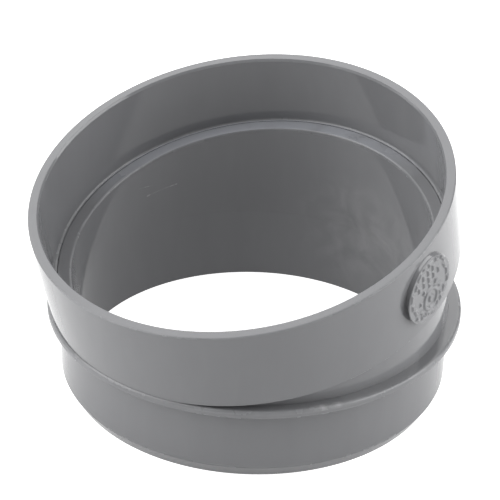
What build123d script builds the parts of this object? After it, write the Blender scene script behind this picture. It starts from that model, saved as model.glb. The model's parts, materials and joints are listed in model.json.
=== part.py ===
"""Short 15 degree male and female bend for 100 mm plastic pipe, as a set of named solids.

+Z runs up the spigot axis and the origin is the centre of the spigot's open end face.
The socket leans towards -Y, so the bend lies in the YZ plane, and the marking disc faces +X.
"""
from build123d import *
from math import cos, radians, sin, tan
import os

# Driving dimensions, in millimetres and degrees.
pipe_diameter = 100.0
pipe_clearance = 0.2
spigot_wall = 4.0
socket_wall = 2.6
bend_angle = 15.0
bend_tangent = 8.7
spigot_length = 20.0
lead_in_width = 2.0
lead_in_length = 3.5
collar_radius = 53.2
collar_thickness = 2.0
collar_edge_round = 0.6
socket_depth = 20.4
socket_floor = 2.1
mouth_chamfer_width = 0.35
mouth_chamfer_length = 0.6
edge_round = 0.4
stop_edge_round = 0.5
disc_radius = 9.0
disc_stand_out = 0.8
disc_root_depth = 1.0
disc_edge_round = 0.2
relief_height = 0.4
relief_width = 0.7
dial_radius = 3.2
dial_drop = 3.1
tick_count = 10
tick_length = 1.0
tick_gap = 0.5
bar_rise = 2.7
bar_pitch = 1.8
bar_lengths = (5.0, 3.8, 2.2)

# Sizes that follow from them.
spigot_radius = pipe_diameter / 2
passage_radius = spigot_radius - spigot_wall
bore_radius = spigot_radius + pipe_clearance
socket_radius = bore_radius + socket_wall
bend_radius = bend_tangent / tan(radians(bend_angle / 2))
bend_centre_z = spigot_length + bend_tangent
collar_top_z = spigot_length + collar_thickness
foot_distance = bend_tangent - socket_floor
rim_distance = bend_tangent + socket_depth
disc_distance = (foot_distance + rim_distance) / 2
disc_face_x = socket_radius + disc_stand_out
disc_root_x = socket_radius - disc_root_depth
tick_centre_radius = dial_radius + tick_gap + tick_length / 2

# The bend turns about this line, which is parallel to X on the socket's side.
bend_axis = Axis((0, -bend_radius, spigot_length), (1, 0, 0))

# The socket's own axis leaves the bend centre tilted towards -Y. Distances called foot, rim and
# disc are measured along it from there, and the profile plane holds it as its Y direction.
socket_direction = Vector(0, -sin(radians(bend_angle)), cos(radians(bend_angle)))
bend_centre = Vector(0, 0, bend_centre_z)
socket_profile_plane = Plane(
    origin=bend_centre, x_dir=(1, 0, 0), z_dir=Vector(1, 0, 0).cross(socket_direction)
)
sleeve_plane = Plane(
    origin=bend_centre + socket_direction * foot_distance, x_dir=(1, 0, 0), z_dir=socket_direction
)
disc_centre = bend_centre + socket_direction * disc_distance
disc_root_plane = Plane(
    origin=disc_centre + Vector(disc_root_x, 0, 0), x_dir=socket_direction, z_dir=(1, 0, 0)
)
disc_face_plane = Plane(
    origin=disc_centre + Vector(disc_face_x, 0, 0), x_dir=socket_direction, z_dir=(1, 0, 0)
)

# Spigot: the straight male end, with a long lead-in chamfer on its open end.
with BuildPart() as spigot_tube:
    with BuildSketch(Plane.XZ):
        with BuildLine():
            Polyline(
                (passage_radius, 0),
                (spigot_radius - lead_in_width, 0),
                (spigot_radius, lead_in_length),
                (spigot_radius, spigot_length),
                (passage_radius, spigot_length),
                close=True,
            )
        make_face()
    revolve(axis=Axis.Z)
spigot_tube.part.label = "spigot_tube"

# The bend without its passage, which is the hole that the collar and the sleeve fit round.
with BuildPart() as bend_core:
    with BuildSketch(Plane.XY.offset(spigot_length)):
        Circle(spigot_radius)
    revolve(axis=bend_axis, revolution_arc=bend_angle)

# Bend body: the tube carried on through the bend. Its far end face is the stop for the pipe.
with BuildPart() as bend_body:
    with BuildSketch(Plane.XY.offset(spigot_length)):
        Circle(spigot_radius)
        Circle(passage_radius, mode=Mode.SUBTRACT)
    revolve(axis=bend_axis, revolution_arc=bend_angle)
    stop_face = bend_body.faces().sort_by(Axis.Z)[-1]
    fillet(stop_face.inner_wires()[0].edges(), stop_edge_round)
bend_body.part.label = "bend_body"

# Collar: the ring round the root of the spigot that the next socket stops against.
with BuildPart() as stop_collar:
    with BuildSketch(Plane.XY.offset(spigot_length)):
        Circle(collar_radius)
    extrude(amount=collar_thickness)
    rims = stop_collar.edges().filter_by(GeomType.CIRCLE)
    fillet(rims, collar_edge_round)
    add(bend_core.part, mode=Mode.SUBTRACT)
stop_collar.part.label = "stop_collar"

# Sleeve: the socket wall and its floor ring, turned about the socket's axis, then trimmed where
# its low side lands on the collar. Inside the bore the floor ring lies flush with the stop face.
with BuildPart() as socket_sleeve:
    with BuildSketch(socket_profile_plane):
        with BuildLine():
            Polyline(
                (passage_radius, foot_distance),
                (socket_radius, foot_distance),
                (socket_radius, rim_distance),
                (bore_radius + mouth_chamfer_width, rim_distance),
                (bore_radius, rim_distance - mouth_chamfer_length),
                (bore_radius, bend_tangent),
                (passage_radius, bend_tangent),
                close=True,
            )
        make_face()
    revolve(axis=Axis(bend_centre, socket_direction))
    outer_rims = socket_sleeve.edges().filter_by(GeomType.CIRCLE).group_by(SortBy.RADIUS)[-1]
    fillet(outer_rims, edge_round)
    add(bend_core.part, mode=Mode.SUBTRACT)
    split(bisect_by=Plane.XY.offset(collar_top_z), keep=Keep.TOP)
socket_sleeve.part.label = "socket_sleeve"

# Socket wall without its bore, which is cut from the disc so that the disc sits on the wall.
with BuildPart() as socket_core:
    with BuildSketch(sleeve_plane):
        Circle(socket_radius)
    extrude(amount=rim_distance - foot_distance)

# Marking disc: a flat-faced round pad on the side of the socket. Its relief is a plain dial,
# which is a ring with a centre dot and ticks round it, and rows of plain bars above the dial.
with BuildPart() as marking_disc:
    with BuildSketch(disc_root_plane):
        Circle(disc_radius)
    extrude(amount=disc_face_x - disc_root_x)
    fillet(marking_disc.faces().sort_by(Axis.X)[-1].edges(), disc_edge_round)
    add(socket_core.part, mode=Mode.SUBTRACT)
    with BuildSketch(disc_face_plane):
        with Locations((-dial_drop, 0)):
            Circle(dial_radius)
            Circle(dial_radius - relief_width, mode=Mode.SUBTRACT)
            Circle(relief_width)
        with Locations((-dial_drop, 0)):
            with PolarLocations(tick_centre_radius, tick_count):
                Rectangle(tick_length, relief_width)
        for row, bar_length in enumerate(bar_lengths):
            row_height = bar_rise + row * bar_pitch
            bar_offset = (bar_length + relief_width) / 2
            with Locations((row_height, bar_offset), (row_height, -bar_offset)):
                Rectangle(relief_width, bar_length)
    extrude(amount=relief_height)
marking_disc.part.label = "marking_disc"

os.makedirs("parts", exist_ok=True)
export_step(spigot_tube.part, "parts/spigot_tube.step")
export_step(bend_body.part, "parts/bend_body.step")
export_step(stop_collar.part, "parts/stop_collar.step")
export_step(socket_sleeve.part, "parts/socket_sleeve.step")
export_step(marking_disc.part, "parts/marking_disc.step")
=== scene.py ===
"""The looks of a short grey plastic pipe bend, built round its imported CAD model.

Every piece is a fine mesh on the CAD's own sizes, read from the frame and its record.
Lengths named in this file are in millimetres until a mesh is written, which is in metres.
"""
import json
from math import acos, atan2, cos, pi, radians, sin, tan

import bmesh
import bpy
import numpy as np
from mathutils import Matrix, Vector


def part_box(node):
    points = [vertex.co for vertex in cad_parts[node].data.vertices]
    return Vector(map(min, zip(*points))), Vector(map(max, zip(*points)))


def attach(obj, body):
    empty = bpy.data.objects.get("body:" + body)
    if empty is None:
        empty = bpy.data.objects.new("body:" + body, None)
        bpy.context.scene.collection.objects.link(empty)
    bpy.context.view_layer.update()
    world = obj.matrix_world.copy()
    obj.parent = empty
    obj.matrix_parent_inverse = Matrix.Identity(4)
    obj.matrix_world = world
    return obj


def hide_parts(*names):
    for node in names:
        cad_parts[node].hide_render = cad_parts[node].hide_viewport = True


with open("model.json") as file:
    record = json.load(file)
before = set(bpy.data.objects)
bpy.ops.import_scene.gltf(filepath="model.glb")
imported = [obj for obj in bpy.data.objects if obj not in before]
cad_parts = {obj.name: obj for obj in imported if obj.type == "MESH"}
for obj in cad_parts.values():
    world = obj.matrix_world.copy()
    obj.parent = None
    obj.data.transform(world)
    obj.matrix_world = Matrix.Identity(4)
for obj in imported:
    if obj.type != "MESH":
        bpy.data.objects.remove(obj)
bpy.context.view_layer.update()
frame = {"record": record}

MM = 0.001
SEGMENTS = 384
ARC_STEPS = 7
GUARD_SHARE = 0.4


def node_corners(node):
    """A node's lowest and highest corners, in millimetres."""
    return [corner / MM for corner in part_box(node)]


# Sizes and places that the frame holds.
mounts = {mount["name"]: mount for mount in frame["record"]["mounts"]}
spigot_radius = mounts["spigot"]["dims"]["r_mm"]
passage_radius = mounts["outlet_bore"]["dims"]["r_mm"]
bore_radius = mounts["socket"]["dims"]["r_mm"]
bore_length = mounts["socket"]["dims"]["length_mm"]
spigot_length = node_corners("spigot_tube")[1].z
collar_radius, _, collar_top = node_corners("stop_collar")[1]
socket_radius = node_corners("socket_sleeve")[1].x
disc_low, disc_high = node_corners("marking_disc")

socket_axis = Vector(mounts["socket"]["axis"]).normalized()
bore_centre = Vector(mounts["socket"]["pos_m"]) / MM
stop_centre = bore_centre - socket_axis * bore_length / 2
bend_angle = atan2(-socket_axis.y, socket_axis.z)
bend_radius = -stop_centre.y / (1 - cos(bend_angle))
bend_length = bend_radius * bend_angle

# Details of the edges that the record doesn't state.
lead_in_width = 2.0
lead_in_length = 3.5
floor_thickness = 2.1
mouth_chamfer_width = 0.35
mouth_chamfer_length = 0.6
collar_round = 0.8
stop_round = 0.55
root_height = 0.3
# Small steps that keep neighbouring pieces from sharing a face.
seam_gap = 0.01
skin = 0.02
hidden_lap = 0.1
# The part of a sunk depth by which the socket's foot is lifted out of the collar.
drape_share = 0.98


def unit(vector):
    return vector / np.linalg.norm(vector)


def rounded_outline(corners):
    """A closed outline from (radius, height, rounding) corners, and how far each point is a worn edge.

    A corner with no rounding is a hidden seam, and its points are listed as creases. A guard point
    on each side of a rounding keeps the shading of the flat faces flat.
    """
    points, wear, creases = [], [], []
    for index, (radius, height, rounding) in enumerate(corners):
        corner = np.array((radius, height), float)
        before = unit(np.array(corners[index - 1][:2], float) - corner)
        after = unit(np.array(corners[(index + 1) % len(corners)][:2], float) - corner)
        if rounding == 0:
            creases.append(len(points))
            points.append(corner)
            wear.append(0.0)
            continue
        half_angle = acos(float(np.clip(before @ after, -1, 1))) / 2
        reach = rounding / np.tan(half_angle)
        centre = corner + unit(before + after) * rounding / sin(half_angle)
        start = corner + before * reach - centre
        end = corner + after * reach - centre
        sweep = pi - 2 * half_angle
        guard = GUARD_SHARE * rounding
        points.append(centre + start + before * guard)
        wear.append(0.0)
        for step in range(ARC_STEPS + 1):
            share = step / ARC_STEPS
            turned = start * sin((1 - share) * sweep) + end * sin(share * sweep)
            points.append(centre + turned / sin(sweep))
            wear.append(1.0)
        points.append(centre + end + after * guard)
        wear.append(0.0)
    return np.array(points), np.array(wear), creases


def straight_place(across, along, height):
    """Points beside the spigot's axis."""
    return np.stack((across, along, height), axis=-1)


def bend_place(across, along, height):
    """Points beside the bend's curved centre line, where height is the distance up that line."""
    turned = height / bend_radius
    reach = along + bend_radius
    lift = reach * np.sin(turned) + spigot_length
    return np.stack((across, reach * np.cos(turned) - bend_radius, lift), axis=-1)


def socket_place(across, along, height):
    """Points beside the socket's axis, where height is the distance above the pipe stop."""
    points = np.array(stop_centre) + height[..., None] * np.array(socket_axis)
    points += along[..., None] * np.array((0, socket_axis.z, -socket_axis.y))
    points[..., 0] += across
    return points


def store(mesh, name, values):
    """Keeps one number for each point of a mesh, for its material to read."""
    attribute = mesh.attributes.new(name, "FLOAT", "POINT")
    attribute.data.foreach_set("value", np.asarray(values, np.float32))


def finish_mesh(name, mesh):
    """Makes the object, with its faces outwards, smooth shading and normals led by the large faces."""
    shape = bmesh.new()
    shape.from_mesh(mesh)
    bmesh.ops.recalc_face_normals(shape, faces=shape.faces)
    shape.to_mesh(mesh)
    shape.free()
    mesh.shade_smooth()
    piece = bpy.data.objects.new(name, mesh)
    bpy.context.scene.collection.objects.link(piece)
    weighted = piece.modifiers.new("weighted_normals", "WEIGHTED_NORMAL")
    weighted.keep_sharp = True
    return piece


def closed_skin(name, grid, wear, creases):
    """A closed tube of quads over a grid of points that wraps both ways, with smooth normals."""
    rows, columns = grid.shape[:2]
    index = np.arange(rows * columns).reshape(rows, columns)
    below = np.roll(index, -1, axis=0)
    quads = np.stack(
        (index, np.roll(index, -1, axis=1), np.roll(below, -1, axis=1), below), axis=-1
    ).reshape(-1, 4)
    mesh = bpy.data.meshes.new(name)
    mesh.from_pydata((grid.reshape(-1, 3) * MM).tolist(), [], quads.tolist())
    sharp_rows = set(creases)
    for edge in mesh.edges:
        first, second = (vertex // columns for vertex in edge.vertices)
        edge.use_edge_sharp = first == second and first in sharp_rows
    store(mesh, "wear", np.repeat(wear, columns))
    return finish_mesh(name, mesh)


def turned_piece(name, corners, place, adjust=None):
    """A piece turned from an outline round an axis or round the bend."""
    points, wear, creases = rounded_outline(corners)
    angle = np.linspace(0, 2 * pi, SEGMENTS, endpoint=False)
    radius, height = points[:, :1], points[:, 1:]
    grid = place(radius * np.cos(angle), radius * np.sin(angle), np.repeat(height, SEGMENTS, axis=1))
    if adjust is not None:
        grid = adjust(grid)
    return closed_skin(name, grid, wear, creases)


def spigot_piece():
    """The straight male end, with its long lead-in."""
    spigot_end = spigot_length - seam_gap
    corners = [
        (passage_radius, 0, 0.3),
        (spigot_radius - lead_in_width, 0, 0.4),
        (spigot_radius, lead_in_length, 1.2),
        (spigot_radius, spigot_end, 0),
        (passage_radius, spigot_end, 0),
    ]
    return turned_piece("spigot_tube_shell", corners, straight_place)


def bend_piece():
    """The recessed tube between collar and socket. Its far end is the stop for the pipe."""
    corners = [
        (passage_radius, 0, 0),
        (spigot_radius, 0, 0),
        (spigot_radius, bend_length, 0),
        (passage_radius, bend_length, stop_round),
    ]
    return turned_piece("bend_body_shell", corners, bend_place)


def collar_piece():
    """The stop ring, with a small fillet where its underside meets the spigot."""
    root = spigot_length - root_height
    corners = [
        (spigot_radius, root, 0),
        (spigot_radius + skin, root, 0),
        (spigot_radius + skin, spigot_length, 0.28),
        (collar_radius, spigot_length, 0.5),
        (collar_radius, collar_top, collar_round),
        (spigot_radius - hidden_lap, collar_top, 0),
    ]
    return turned_piece("stop_collar_ring", corners, straight_place)


def above_collar(grid):
    """Lifts what would sink into the collar onto the collar's top face and its rounded edge."""
    beyond = np.hypot(grid[..., 0], grid[..., 1]) - (collar_radius - collar_round)
    beyond = np.clip(beyond, 0, collar_round)
    surface = collar_top - collar_round + np.sqrt(collar_round**2 - beyond**2)
    lift = np.maximum(surface - grid[..., 2], 0) * drape_share / socket_axis.z
    return grid + lift[..., None] * np.array(socket_axis)


def sleeve_piece():
    """The tilted socket: wall, chamfered mouth, bore and a floor ring that rests on the collar."""
    foot = -floor_thickness
    rim = bore_length + mouth_chamfer_length
    corners = [
        (spigot_radius - hidden_lap, foot, 0),
        (socket_radius, foot, 0.2),
        (socket_radius, rim, 0.3),
        (bore_radius + mouth_chamfer_width, rim, 0.12),
        (bore_radius, bore_length, 0.3),
        (bore_radius, 0, stop_round),
        (spigot_radius - hidden_lap, 0, 0),
    ]
    return turned_piece("socket_sleeve_shell", corners, socket_place, above_collar)


spigot = spigot_piece()
bend = bend_piece()
collar = collar_piece()
sleeve = sleeve_piece()


# Marking disc: a flat pad on the socket's side, with soft-edged raised relief.
DISC_RINGS = 110
DISC_SEGMENTS = 360
disc_centre = (disc_low + disc_high) / 2
disc_height = (disc_centre - stop_centre).dot(socket_axis)
disc_radius = (disc_high.y - disc_low.y) / 2
relief_height = 0.4
disc_face = disc_high.x - relief_height
edge_round = 0.25
disc_draft = 0.7
disc_undercut = 1.5

mark_width = 0.95
mark_softness = 0.3
dial_up, dial_radius = -3.1, 3.2
tick_count, tick_reach, tick_length = 10, 4.3, 1.1
bar_rows = ((3.0, 5), (5.2, 3))
bar_spacing, bar_height, bar_width = 2.1, 1.6, 1.1
arc_count, arc_reach, arc_step = 18, 7.9, 0.45
arc_lengths = (1.5, 2.0)
relief_wear = 0.6


def soft_step(distance):
    """0 outside and 1 inside, across a slope that is centred on a distance of zero."""
    share = np.clip(distance / mark_softness / 2 + 0.5, 0, 1)
    return share * share * (3 - 2 * share)


def block(up, side, centre_up, centre_side, height, width):
    """How far a point is inside an upright block."""
    return np.minimum(height / 2 - np.abs(up - centre_up), width / 2 - np.abs(side - centre_side))


def relief(up, side):
    """Height of the raised marks: a dial low on the disc, rows of plain bars and broken arcs round them."""
    from_dial = np.hypot(up - dial_up, side)
    ring_middle = dial_radius - mark_width / 2
    marks = [mark_width / 2 - np.abs(from_dial - ring_middle), mark_width - from_dial]
    dial_angle = np.arctan2(side, up - dial_up)
    for tick in range(tick_count):
        turned = dial_angle - tick * 2 * pi / tick_count
        along, across = from_dial * np.cos(turned), from_dial * np.sin(turned)
        marks.append(block(along, across, tick_reach, 0, tick_length, mark_width))
    for row_up, count in bar_rows:
        for bar in range(count):
            bar_side = (bar - (count - 1) / 2) * bar_spacing
            marks.append(block(up, side, row_up, bar_side, bar_height, bar_width))
    from_centre = np.hypot(up, side)
    disc_angle = np.arctan2(side, up)
    for arc in range(arc_count):
        turned = (disc_angle - (arc + 0.5) * 2 * pi / arc_count + pi) % (2 * pi) - pi
        reach = arc_reach - arc_step * (arc % 3)
        length = arc_lengths[arc % 2]
        marks.append(block(from_centre, from_centre * turned, reach, 0, mark_width, length))
    return relief_height * soft_step(np.max(np.stack(marks), axis=0))


def wall_level(side):
    """How far out the socket's wall is, at a distance sideways from the disc's middle."""
    return np.sqrt(socket_radius**2 - side**2)


def disc_rings():
    """Rings of points from the face's middle to the back's middle, as (up, side, level) arrays."""
    angle = np.linspace(0, 2 * pi, DISC_SEGMENTS, endpoint=False)[None, :]
    upward, sideways = np.cos(angle), np.sin(angle)
    edge_radius = disc_radius - disc_draft * np.clip(upward, 0, 1)
    lower_part = np.clip(0.7 - 0.7 * upward, 0, 1)
    foot_radius = disc_radius - disc_undercut * lower_part
    inner = edge_radius - edge_round
    edge_level = disc_face - edge_round

    radius = np.linspace(0, 1, DISC_RINGS)[1:, None] * inner
    up, side = radius * upward, radius * sideways
    rings = [(up, side, disc_face + relief(up, side))]
    for step in range(1, ARC_STEPS + 1):
        turn = step / ARC_STEPS * pi / 2
        radius = inner + edge_round * sin(turn)
        level = np.full_like(angle, edge_level + edge_round * cos(turn))
        rings.append((radius * upward, radius * sideways, level))
    for share in (0.1, 0.4, 0.7, 1.0):
        radius = edge_radius + (foot_radius - edge_radius) * share
        side = radius * sideways
        rings.append((radius * upward, side, edge_level + (wall_level(side) - edge_level) * share))
    for share in np.linspace(1, 0, 8)[:-1]:
        radius = foot_radius * share
        side = radius * sideways
        rings.append((radius * upward, side, wall_level(side) - skin))
    return [
        np.concatenate([np.broadcast_to(ring[part], (len(ring[part]), DISC_SEGMENTS)) for ring in rings])
        for part in range(3)
    ]


def disc_piece():
    """A closed pad: relief face, rounded edge, side wall and a back that lies on the socket wall."""
    up, side, level = disc_rings()
    rows = len(up)
    origin = np.array(stop_centre) + np.array(socket_axis) * disc_height
    grid = origin + up[..., None] * np.array(socket_axis)
    grid += side[..., None] * np.array((0, -socket_axis.z, socket_axis.y))
    grid[..., 0] = level
    front, back = origin.copy(), origin.copy()
    front[0] = disc_face + float(relief(np.zeros(1), np.zeros(1))[0])
    back[0] = socket_radius - skin
    points = np.concatenate((grid.reshape(-1, 3), front[None], back[None])) * MM

    index = np.arange(rows * DISC_SEGMENTS).reshape(rows, DISC_SEGMENTS)
    ahead = np.roll(index, -1, axis=1)
    faces = np.stack((index[:-1], index[1:], ahead[1:], ahead[:-1]), axis=-1).reshape(-1, 4).tolist()
    front_index, back_index = rows * DISC_SEGMENTS, rows * DISC_SEGMENTS + 1
    faces += [(front_index, a, b) for a, b in zip(index[0].tolist(), ahead[0].tolist())]
    faces += [(back_index, b, a) for a, b in zip(index[-1].tolist(), ahead[-1].tolist())]
    mesh = bpy.data.meshes.new("marking_disc_pad")
    mesh.from_pydata(points.tolist(), [], faces)
    raised = np.clip((points[:, 0] / MM - disc_face) / relief_height, 0, 1)
    store(mesh, "wear", raised * relief_wear)
    return finish_mesh("marking_disc_pad", mesh)


disc = disc_piece()

standing_for = {
    "spigot_tube": spigot,
    "bend_body": bend,
    "stop_collar": collar,
    "socket_sleeve": sleeve,
    "marking_disc": disc,
}
for node, piece in standing_for.items():
    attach(piece, "root")
    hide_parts(node)


class Nodes:
    """Short ways to add the nodes that the materials use."""

    def __init__(self, material):
        self.tree = material.node_tree
        self.place = self.add("ShaderNodeTexCoord").outputs["Object"]

    def add(self, kind):
        return self.tree.nodes.new(kind)

    def feed(self, value, socket):
        """Links a socket, or sets a plain value."""
        if isinstance(value, bpy.types.NodeSocket):
            self.tree.links.new(value, socket)
        else:
            socket.default_value = value

    def noise(self, scale, detail, source=None, distortion=0.0):
        node = self.add("ShaderNodeTexNoise")
        node.inputs["Scale"].default_value = scale
        node.inputs["Detail"].default_value = detail
        node.inputs["Distortion"].default_value = distortion
        self.feed(source or self.place, node.inputs["Vector"])
        return node.outputs["Fac"]

    def remap(self, value, low, high, to_low=0.0, to_high=1.0):
        node = self.add("ShaderNodeMapRange")
        limits = {"From Min": low, "From Max": high, "To Min": to_low, "To Max": to_high}
        for name, limit in limits.items():
            node.inputs[name].default_value = limit
        self.feed(value, node.inputs["Value"])
        return node.outputs["Result"]

    def number(self, operation, first, second):
        node = self.add("ShaderNodeMath")
        node.operation = operation
        self.feed(first, node.inputs[0])
        self.feed(second, node.inputs[1])
        return node.outputs["Value"]

    def product(self, first, *others):
        for other in others:
            first = self.number("MULTIPLY", first, other)
        return first

    def vector(self, operation, first, second=(0, 0, 0)):
        node = self.add("ShaderNodeVectorMath")
        node.operation = operation
        self.feed(first, node.inputs[0])
        self.feed(second, node.inputs[1])
        return node.outputs["Value" if operation in ("LENGTH", "DOT_PRODUCT") else "Vector"]

    def mix(self, share, first, second):
        """One number where the share is 0 and another where it is 1."""
        node = self.add("ShaderNodeMix")
        self.feed(share, node.inputs["Factor"])
        self.feed(first, node.inputs["A"])
        self.feed(second, node.inputs["B"])
        return node.outputs["Result"]

    def blend(self, share, first, second):
        """One colour where the share is 0 and another where it is 1."""
        node = self.add("ShaderNodeMix")
        node.data_type = "RGBA"
        self.feed(share, node.inputs["Factor"])
        self.feed(first, node.inputs["A"])
        self.feed(second, node.inputs["B"])
        return node.outputs["Result"]

    def near_line(self, start, end, half_width):
        """1 on a straight line between two points in millimetres, and 0 from half_width away."""
        start, end = Vector(start) * MM, Vector(end) * MM
        length = (end - start).length
        direction = (end - start) / length
        offset = self.vector("SUBTRACT", self.place, start)
        along = self.vector("DOT_PRODUCT", offset, direction)
        along = self.number("MINIMUM", self.number("MAXIMUM", along, 0.0), length)
        foot = self.add("ShaderNodeVectorMath")
        foot.operation = "SCALE"
        foot.inputs[0].default_value = direction
        self.feed(along, foot.inputs["Scale"])
        gap = self.vector("LENGTH", self.vector("SUBTRACT", offset, foot.outputs["Vector"]))
        return self.remap(gap, 0.4 * half_width * MM, half_width * MM, 1.0, 0.0)


# Material: grey PVC with a soft sheen, flow marks, worn edges, a cloudy stain and scratches, and painted
# light: a lighter tone on the pipe stop's far side and a highlight on the collar's edge.
PVC_DARK, PVC_LIGHT = (0.170, 0.172, 0.179, 1), (0.186, 0.188, 0.195, 1)
# The chalky grey is the colour of real stains, scratches and wear, and it is also used for a painted
# highlight on the collar's edge.
PVC_FLOW, CHALKY_AND_HIGHLIGHT_GREY = (0.162, 0.164, 0.171, 1), (0.30, 0.30, 0.305, 1)
# A lighter, bluish grey, painted on the far side of the pipe stop as light falling there.
PAINTED_STOP_LIGHT_COLOUR = (0.32, 0.33, 0.36, 1)
PVC_IOR = 1.5
FLOW_STRETCH = (1.0, 1.0, 0.18)
BUMP_HEIGHT = 0.2

# Painted light: a lighter tone lies on the side of the pipe stop that this direction points to, and near
# the stop's level.
PAINTED_STOP_LIGHT_SIDE = Vector((-0.55, 0.83, 0))
PAINTED_STOP_LIGHT_REACH = 2.0
# The stain and the scratches are on the passage wall. A line has its two ends and half its width.
STAIN_CENTRE, STAIN_REACH = (5, 45, 19), (24, 14, 21)
SCRATCHES = (
    ((-44.4, 10.9, 30.3), (-41.0, 19.4, 31.6), 0.32),
    ((-45.0, 8.2, 33.5), (-43.6, 13.6, 33.0), 0.14),
)
# A painted highlight lies along this line on the collar's top edge.
PAINTED_HIGHLIGHT_ON_COLLAR = ((41.0, -32.9, 21.8), (44.9, -27.4, 21.8), 1.0)


def stain_mask(nodes):
    """A cloud on the passage wall."""
    offset = nodes.vector("SUBTRACT", nodes.place, Vector(STAIN_CENTRE) * MM)
    scale = [1 / (length * MM) for length in STAIN_REACH]
    distance = nodes.vector("LENGTH", nodes.vector("MULTIPLY", offset, scale))
    cloud = nodes.remap(nodes.noise(105, 7, None, 0.7), 0.40, 0.72)
    from_axis = nodes.vector("LENGTH", nodes.vector("MULTIPLY", nodes.place, (1, 1, 0)))
    inside = nodes.number("LESS_THAN", from_axis, (passage_radius + spigot_radius) / 2 * MM)
    return nodes.product(nodes.remap(distance, 0.35, 1.0, 1.0, 0.0), cloud, inside)


def painted_stop_light_mask(nodes):
    """Painted light: a lighter tone on the part of the pipe stop that faces up the socket, on one side,
    where light falls on it.
    """
    normal = nodes.add("ShaderNodeNewGeometry").outputs["Normal"]
    facing_up = nodes.remap(nodes.vector("DOT_PRODUCT", normal, socket_axis), 0.8, 0.97)
    uneven = nodes.remap(nodes.noise(120, 4), 0.3, 0.5, 0.5, 1.0)
    one_side = nodes.remap(nodes.vector("DOT_PRODUCT", nodes.place, PAINTED_STOP_LIGHT_SIDE), 18 * MM, 36 * MM)
    up_the_socket = nodes.vector("DOT_PRODUCT", nodes.place, socket_axis)
    stop_level = stop_centre.dot(socket_axis)
    above = nodes.number("GREATER_THAN", up_the_socket, (stop_level - PAINTED_STOP_LIGHT_REACH) * MM)
    below = nodes.number("LESS_THAN", up_the_socket, (stop_level + PAINTED_STOP_LIGHT_REACH) * MM)
    return nodes.product(facing_up, uneven, one_side, above, below)


def scratch_mask(nodes):
    """Thin, broken scratches."""
    scratch = 0.0
    for start, end, half_width in SCRATCHES:
        scratch = nodes.number("MAXIMUM", nodes.near_line(start, end, half_width), scratch)
    return nodes.product(scratch, nodes.remap(nodes.noise(700, 2), 0.3, 0.6, 0.25, 1.0))


def grey_pvc():
    """The plastic: its greys and sheen, then each mark over them, then the faint relief."""
    material = bpy.data.materials.new("grey_pvc_moulded")
    material.use_nodes = True
    nodes = Nodes(material)
    surface = material.node_tree.nodes["Principled BSDF"]
    worn = nodes.add("ShaderNodeAttribute")
    worn.attribute_name = "wear"
    edge = worn.outputs["Fac"]
    rubbed_edge = nodes.product(edge, nodes.remap(nodes.noise(160, 4), 0.4, 0.65))
    # A painted highlight: a blotchy light patch along a short line on the collar's edge.
    painted_collar_highlight = nodes.product(nodes.near_line(*PAINTED_HIGHLIGHT_ON_COLLAR), nodes.remap(nodes.noise(330, 3), 0.38, 0.6))
    scratch = scratch_mask(nodes)
    drawn_out = nodes.vector("MULTIPLY", nodes.place, FLOW_STRETCH)
    flow = nodes.noise(190, 3, drawn_out, 0.6)

    colour = nodes.blend(nodes.noise(28, 3), PVC_DARK, PVC_LIGHT)
    colour = nodes.blend(nodes.remap(flow, 0.35, 0.75, 0.0, 0.35), colour, PVC_FLOW)
    roughness = nodes.remap(nodes.noise(140, 4), 0.3, 0.7, 0.05, 0.10)
    roughness = nodes.number("ADD", roughness, nodes.remap(flow, 0.4, 0.7, 0.0, 0.03))
    marks = (  # Each has its colour, how much of that colour it takes on, and its added roughness.
        (stain_mask(nodes), CHALKY_AND_HIGHLIGHT_GREY, 0.55, 0.18),
        (edge, CHALKY_AND_HIGHLIGHT_GREY, 0.0, 0.18),
        (rubbed_edge, CHALKY_AND_HIGHLIGHT_GREY, 0.15, 0.0),
        # Painted highlight on the collar's edge, almost fully the chalky grey.
        (painted_collar_highlight, CHALKY_AND_HIGHLIGHT_GREY, 0.9, 0.0),
        # Painted light: the far side of the pipe stop made lighter, and rougher.
        (painted_stop_light_mask(nodes), PAINTED_STOP_LIGHT_COLOUR, 0.8, 0.3),
        (scratch, CHALKY_AND_HIGHLIGHT_GREY, 0.5, 0.25),
    )
    for mask, tint, share, added in marks:
        colour = nodes.blend(nodes.product(mask, share), colour, tint)
        roughness = nodes.number("ADD", roughness, nodes.product(mask, added))
    nodes.feed(colour, surface.inputs["Base Color"])
    nodes.feed(roughness, surface.inputs["Roughness"])
    surface.inputs["IOR"].default_value = PVC_IOR

    grain = nodes.product(nodes.noise(900, 2), 0.012)
    waves = nodes.product(nodes.noise(55, 2, drawn_out), 0.5)
    scored = nodes.product(scratch, -0.5)
    bump = nodes.add("ShaderNodeBump")
    bump.inputs["Strength"].default_value = 0.3
    bump.inputs["Distance"].default_value = BUMP_HEIGHT * MM
    nodes.feed(nodes.number("ADD", nodes.number("ADD", grain, waves), scored), bump.inputs["Height"])
    nodes.feed(bump.outputs["Normal"], surface.inputs["Normal"])
    return material


plastic = grey_pvc()
for piece in standing_for.values():
    piece.data.materials.append(plastic)


# Stage: a pale floor, soft light from all round and the camera. Azimuths are from the camera's side.
# The floor's radius and the lights' distance are in metres.
CAMERA_AZIMUTH = 35.63
CAMERA_ELEVATION = 30.46
CAMERA_ROLL = 1.49
CAMERA_DISTANCE = 449.5
CAMERA_TARGET = (-1.16, -0.80, 34.47)
FOCAL_LENGTH = 127.27
SENSOR_WIDTH = 36

FLOOR_RADIUS = 3.0
FLOOR_GLOW = 0.42
FLOOR_WHITE = 0.9
HOLE_GLOW = 0.27
FILL_LIGHT = 0.26
BACKDROP_WHITE = 1.2
LIGHT_DISTANCE = 1.6
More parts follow.
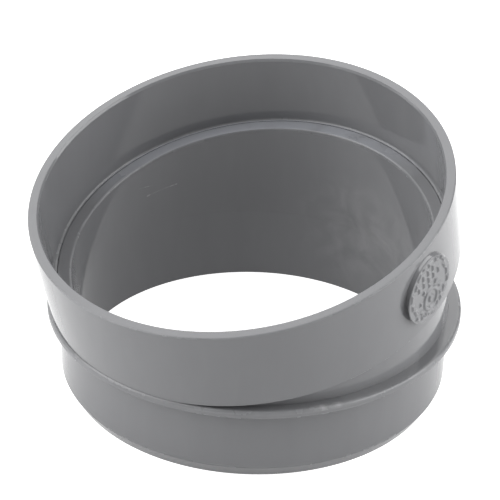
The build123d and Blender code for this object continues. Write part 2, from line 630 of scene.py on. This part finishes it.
# Each soft box has its azimuth, elevation, width and height in degrees, and its radiance.
SOFT_BOXES = {
    "right_box": (82, 27, 52, 42, 4.1),
    "left_box": (-76, 28, 46, 44, 4.4),
    "back_box": (-162, 36, 86, 48, 1.8),
    "top_box": (0, 80, 60, 26, 1.9),
}


def toward(azimuth, elevation):
    """A unit direction, with azimuth in degrees anticlockwise from the camera's side."""
    turned = radians(CAMERA_AZIMUTH + azimuth)
    raised = radians(elevation)
    return Vector((sin(turned) * cos(raised), -cos(turned) * cos(raised), sin(raised)))


def floor_piece():
    """A plain pale floor. It looks white, and what it throws on the object fades towards the camera."""
    bpy.ops.mesh.primitive_circle_add(
        vertices=96, radius=FLOOR_RADIUS, fill_type="NGON", location=(0, 0, 0)
    )
    floor = bpy.context.object
    floor.name = "floor"
    material = bpy.data.materials.new("pale_floor")
    material.use_nodes = True
    nodes = Nodes(material)
    surface = material.node_tree.nodes["Principled BSDF"]
    surface.inputs["Base Color"].default_value = (0.7, 0.7, 0.7, 1)
    surface.inputs["Roughness"].default_value = 0.9
    surface.inputs["Emission Color"].default_value = (1, 1, 1, 1)
    nearness = nodes.vector("DOT_PRODUCT", nodes.vector("NORMALIZE", nodes.place), toward(0, 0))
    glow = nodes.remap(nearness, 1.0, 0.0, 0.0, FLOOR_GLOW)
    distance = nodes.vector("LENGTH", nodes.place)
    beside = nodes.number("GREATER_THAN", distance, spigot_radius * MM)
    thrown = nodes.mix(beside, HOLE_GLOW, glow)
    camera_ray = nodes.add("ShaderNodeLightPath").outputs["Is Camera Ray"]
    nodes.feed(nodes.mix(camera_ray, thrown, FLOOR_WHITE), surface.inputs["Emission Strength"])
    floor.data.materials.append(material)


def soft_box(name, azimuth, elevation, width, height, radiance):
    """A square-edged light panel that faces the object, sized in degrees as the object sees it."""
    panel = bpy.data.lights.new(name, "AREA")
    panel.shape = "RECTANGLE"
    panel.size = 2 * LIGHT_DISTANCE * tan(radians(width / 2))
    panel.size_y = 2 * LIGHT_DISTANCE * tan(radians(height / 2))
    panel.energy = radiance * pi * panel.size * panel.size_y
    holder = bpy.data.objects.new(name, panel)
    direction = toward(azimuth, elevation)
    holder.location = direction * LIGHT_DISTANCE
    holder.rotation_euler = direction.to_track_quat("Z", "Y").to_euler()
    holder.visible_camera = False
    bpy.context.scene.collection.objects.link(holder)


def studio_light():
    """White surroundings for the camera, a dim fill and four soft boxes for the object."""
    world = bpy.data.worlds.new("studio")
    bpy.context.scene.world = world
    world.use_nodes = True
    nodes, links = world.node_tree.nodes, world.node_tree.links
    strength = nodes.new("ShaderNodeMapRange")
    strength.inputs["To Min"].default_value = FILL_LIGHT
    strength.inputs["To Max"].default_value = BACKDROP_WHITE
    links.new(nodes.new("ShaderNodeLightPath").outputs["Is Camera Ray"], strength.inputs["Value"])
    background = nodes["Background"]
    background.inputs["Color"].default_value = (1, 1, 1, 1)
    links.new(strength.outputs["Result"], background.inputs["Strength"])
    for name, settings in SOFT_BOXES.items():
        soft_box(name, *settings)


def camera():
    """The camera, rolled a little about its line of sight."""
    roll = radians(CAMERA_ROLL)
    back = toward(0, CAMERA_ELEVATION)
    right = toward(90, 0)
    up = back.cross(right)
    tilted_right = right * cos(roll) + up * sin(roll)
    tilted_up = up * cos(roll) - right * sin(roll)
    lens = bpy.data.cameras.new("camera")
    lens.lens = FOCAL_LENGTH
    lens.sensor_width = SENSOR_WIDTH
    lens.clip_start = 0.01
    lens.clip_end = 20
    taker = bpy.data.objects.new("camera", lens)
    turn = Matrix((tilted_right, tilted_up, back)).transposed().to_4x4()
    place = (Vector(CAMERA_TARGET) + back * CAMERA_DISTANCE) * MM
    taker.matrix_world = Matrix.Translation(place) @ turn
    bpy.context.scene.collection.objects.link(taker)
    bpy.context.scene.camera = taker


floor_piece()
studio_light()
camera()
bpy.context.scene.view_settings.view_transform = "Standard"
